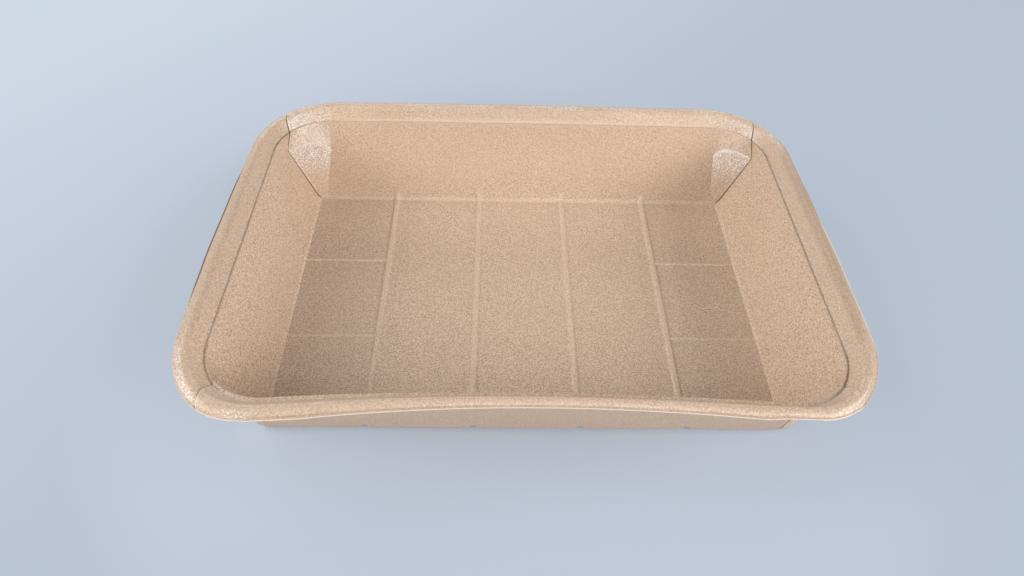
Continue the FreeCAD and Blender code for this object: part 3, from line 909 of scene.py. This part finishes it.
def kraft_material():
    """Coated kraft board, with bare fibres on its outer face."""
    material, start = new_material("kraft_board_with_film")
    place = start.node("ShaderNodeTexCoord", output="Object")

    def fibre_noise(scale, detail, roughness):
        return start.node("ShaderNodeTexNoise", {}, {"Vector": place, "Scale": scale, "Detail": detail,
                                                     "Roughness": roughness})

    def mark(name):
        return start.node("ShaderNodeAttribute", {"attribute_name": name}, output="Fac")

    grain = fibre_noise(1100, 2.0, 0.6)
    fine = fibre_noise(1900, 1.0, 0.5)
    cloud = fibre_noise(28, 3.0, 0.55)
    film_face = mark("film")
    cut = mark("cut")

    specks = (0.35 * grain + 0.65 * fine).between(0.37, 0.63)
    drift = cloud.between(0.35, 0.65)
    back_wall = start.node("ShaderNodeSeparateXYZ", {}, {"Vector": place}, "Y").between(*BACK_WALL)
    rim = start.node("ShaderNodeSeparateXYZ", {}, {"Vector": place}, "Z").between(*RIM_FOOT)
    calm = start.math("MAXIMUM", back_wall, rim)
    tint = specks.blend(TAN_DARK, TAN_LIGHT)
    tint = (0.05 + 0.2 * drift + 0.35 * calm).blend(tint, TAN)
    # painted highlight on beads, cross creases, folds and the back groove's edges
    tint = (0.35 * mark("rub")).blend(tint, HIGHLIGHT_TAN)
    spots = fine.between(0.51, 0.61)
    # painted glints and painted reflection where the film is crumpled
    tint = (film_face * mark("crush") * (0.06 + 0.5 * spots)).blend(tint, GLINT)
    # painted highlight along the arch
    tint = (film_face * mark("crest") * (0.5 + 0.5 * spots)).blend(tint, GLINT)
    tint = ((1 - film_face) * 0.6).blend(tint, BARE_BACK)
    # painted shade in the corner grooves, on the front left ledge and in bands along the rim
    tint = mark("score").blend(tint, RIM_SHADE_BROWN)
    # pale bare pulp on the cut edge, painted nearly as pale beside the right end's edge
    tint = cut.between(0.0, 1.0).blend(tint, CUT_EDGE)
    # darker: painted shade behind the front lip, and along the left end's edge
    tint = (-1 * cut).between(0.0, 1.0).blend(tint, DEEP_SHADE_BROWN)
    # painted shadow in the crevice at the flap's edge
    tint = mark("gap").blend(tint, DEEP_SHADE_BROWN)

    bump = start.node("ShaderNodeBump", {}, {"Height": 0.6 * grain + 0.4 * fine, "Strength": 0.36,
                                             "Distance": 0.0002})
    shine = fine.between(0.45, 0.64)
    shader = start.node("ShaderNodeBsdfPrincipled", {}, {
        "Base Color": tint, "Roughness": 0.7 - film_face * (0.14 + 0.24 * shine), "Normal": bump,
        "Coat Weight": film_face * (0.15 + 0.75 * shine), "Coat Roughness": 0.25, "Coat IOR": 1.5,
    })
    finish_material(start, shader)
    return material


kraft = kraft_material()
tray.data.materials.clear()
tray.data.materials.append(kraft)
print("materials:", [material.name for material in bpy.data.materials])

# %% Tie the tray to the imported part
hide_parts("food_tray")
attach(tray, "root")
print(tray.name, "stands for food_tray")

# %% [markdown]
# ## Floor and light
#
# The tray stands on a plain pale blue-grey floor. Its material is part plain paint, which takes the tray's
# shadow, and part a steady glow that only camera, mirror and glass rays see, so it adds no light to the tray.
# The glow fades out under the tray and close beside it, which deepens the shadow where the two touch. A
# little way off it takes over more and more, and far away it has the room's own tone.

# %% Floor
FLOOR_TONE = (0.47, 0.53, 0.62)
FLOOR_GLOW = (0.48, 0.54, 0.64)
FLOOR_GLOW_FAR = (0.63, 0.70, 0.80)
GLOW_SHARE = 0.5
GLOW_SHARE_AROUND = 0.85
# metres: how far past the tray's own floor, and how far from its middle
GLOW_CLEAR = (-0.002, 0.012)
GLOW_AROUND = (0.13, 0.19)
GLOW_FAR = (0.5, 1.4)
BACK_LEFT = (0.05, 0.48)
PALE_ROOM = (0.60, 0.67, 0.77)
ROOM_FILL = (0.027, 0.0285, 0.03)


def floor_material():
    """Pale floor with a faint shadow, lighter far back on the left, in the room's tone far away."""
    material, start = new_material("pale_floor")
    place = start.node("ShaderNodeTexCoord", output="Object")

    def measured(operation, output, along=(0, 0, 0)):
        return start.node("ShaderNodeVectorMath", {"operation": operation}, {0: place, 1: along}, output)

    away = measured("DOT_PRODUCT", "Value", (-1, 1, 0))
    reach = measured("LENGTH", "Value")
    apart = measured("ABSOLUTE", 0)
    past = [start.node("ShaderNodeSeparateXYZ", {}, {"Vector": apart}, axis) - edge * MM
            for axis, edge in (("X", FLOOR_X), ("Y", FLOOR_Y))]
    clear = start.math("MAXIMUM", *past).between(*GLOW_CLEAR)
    far = reach.between(*GLOW_FAR)
    around = GLOW_SHARE_AROUND * reach.between(*GLOW_AROUND)
    share = start.math("MAXIMUM", start.math("MAXIMUM", GLOW_SHARE * clear, around), far)

    camera_ray, glossy_ray, glass_ray = (start.node("ShaderNodeLightPath", output=f"Is {kind} Ray")
                                         for kind in ("Camera", "Glossy", "Transmission"))
    seen = start.math("MINIMUM", camera_ray + glossy_ray + glass_ray, 1.0)
    near_glow = away.between(*BACK_LEFT).blend(FLOOR_GLOW, FLOOR_GLOW_FAR)
    glow = start.node("ShaderNodeEmission", {}, {"Color": far.blend(near_glow, PALE_ROOM)})
    paint = start.node("ShaderNodeBsdfPrincipled", {}, {"Base Color": (*FLOOR_TONE, 1), "Roughness": 0.8})
    finish_material(start, start.node("ShaderNodeMixShader", {}, {0: share * seen, 1: paint, 2: glow}))
    return material


bpy.ops.mesh.primitive_plane_add(size=4)
floor = bpy.context.object
floor.name = "floor"
floor.data.materials.append(floor_material())
print("floor, m:", [round(side, 1) for side in floor.dimensions[:2]])

# %% [markdown]
# The light comes from soft boxes in a ring. The strongest stand left and right, about a third of the way up.
# Their light grazes the floor of the tray, so the pressed ridges show, and it fills the walls. Weaker ones
# stand in front, at either side of the middle, a wide one stands behind, and one hangs above. The world
# shows the camera a pale room, and gives the tray only a faint fill.

# %% Light
LAMP_DISTANCE = 1.3


def soft_box(name, bearing, height, width, depth, watts):
    """A soft box aimed at the tray, at a bearing from the front and a height above the floor, in degrees."""
    bearing = math.radians(bearing)
    height = math.radians(height)
    place = Vector((math.sin(bearing) * math.cos(height), -math.cos(bearing) * math.cos(height),
                    math.sin(height))) * LAMP_DISTANCE
    bpy.ops.object.light_add(type="AREA", location=place)
    lamp = bpy.context.object
    lamp.name = name
    lamp.data.shape = "RECTANGLE"
    lamp.data.size = width
    lamp.data.size_y = depth
    lamp.data.energy = watts
    lamp.rotation_euler = (-place).to_track_quat("-Z", "Y").to_euler()


soft_box("box_left", -76, 27, 0.9, 0.5, 9.5)
soft_box("box_left_high", -110, 42, 0.8, 0.6, 4.6)
soft_box("box_right", 72, 31, 0.9, 0.5, 9)
soft_box("box_front_right", 45, 20, 0.7, 0.5, 6.5)
soft_box("box_front", 12, 38, 0.7, 0.6, 4)
soft_box("box_front_left", -42, 16, 0.6, 0.35, 2)
soft_box("box_back", 180, 20, 1.8, 0.6, 7)
soft_box("box_above", 0, 88, 1.0, 1.0, 2)
lamps = [item.data for item in bpy.data.objects if item.type == "LIGHT"]
print("soft boxes:", len(lamps), "with", round(sum(lamp.energy for lamp in lamps), 1), "W together")

# %% The room

world = bpy.data.worlds.new("room")
world.use_nodes = True
room = Wire(world.node_tree)
rays = room.node("ShaderNodeLightPath", output="Is Camera Ray")
seen = rays.blend(ROOM_FILL, PALE_ROOM)
world.node_tree.links.new(seen.socket, world.node_tree.nodes["Background"].inputs["Color"])
bpy.context.scene.world = world
bpy.context.scene.view_settings.view_transform = "Standard"
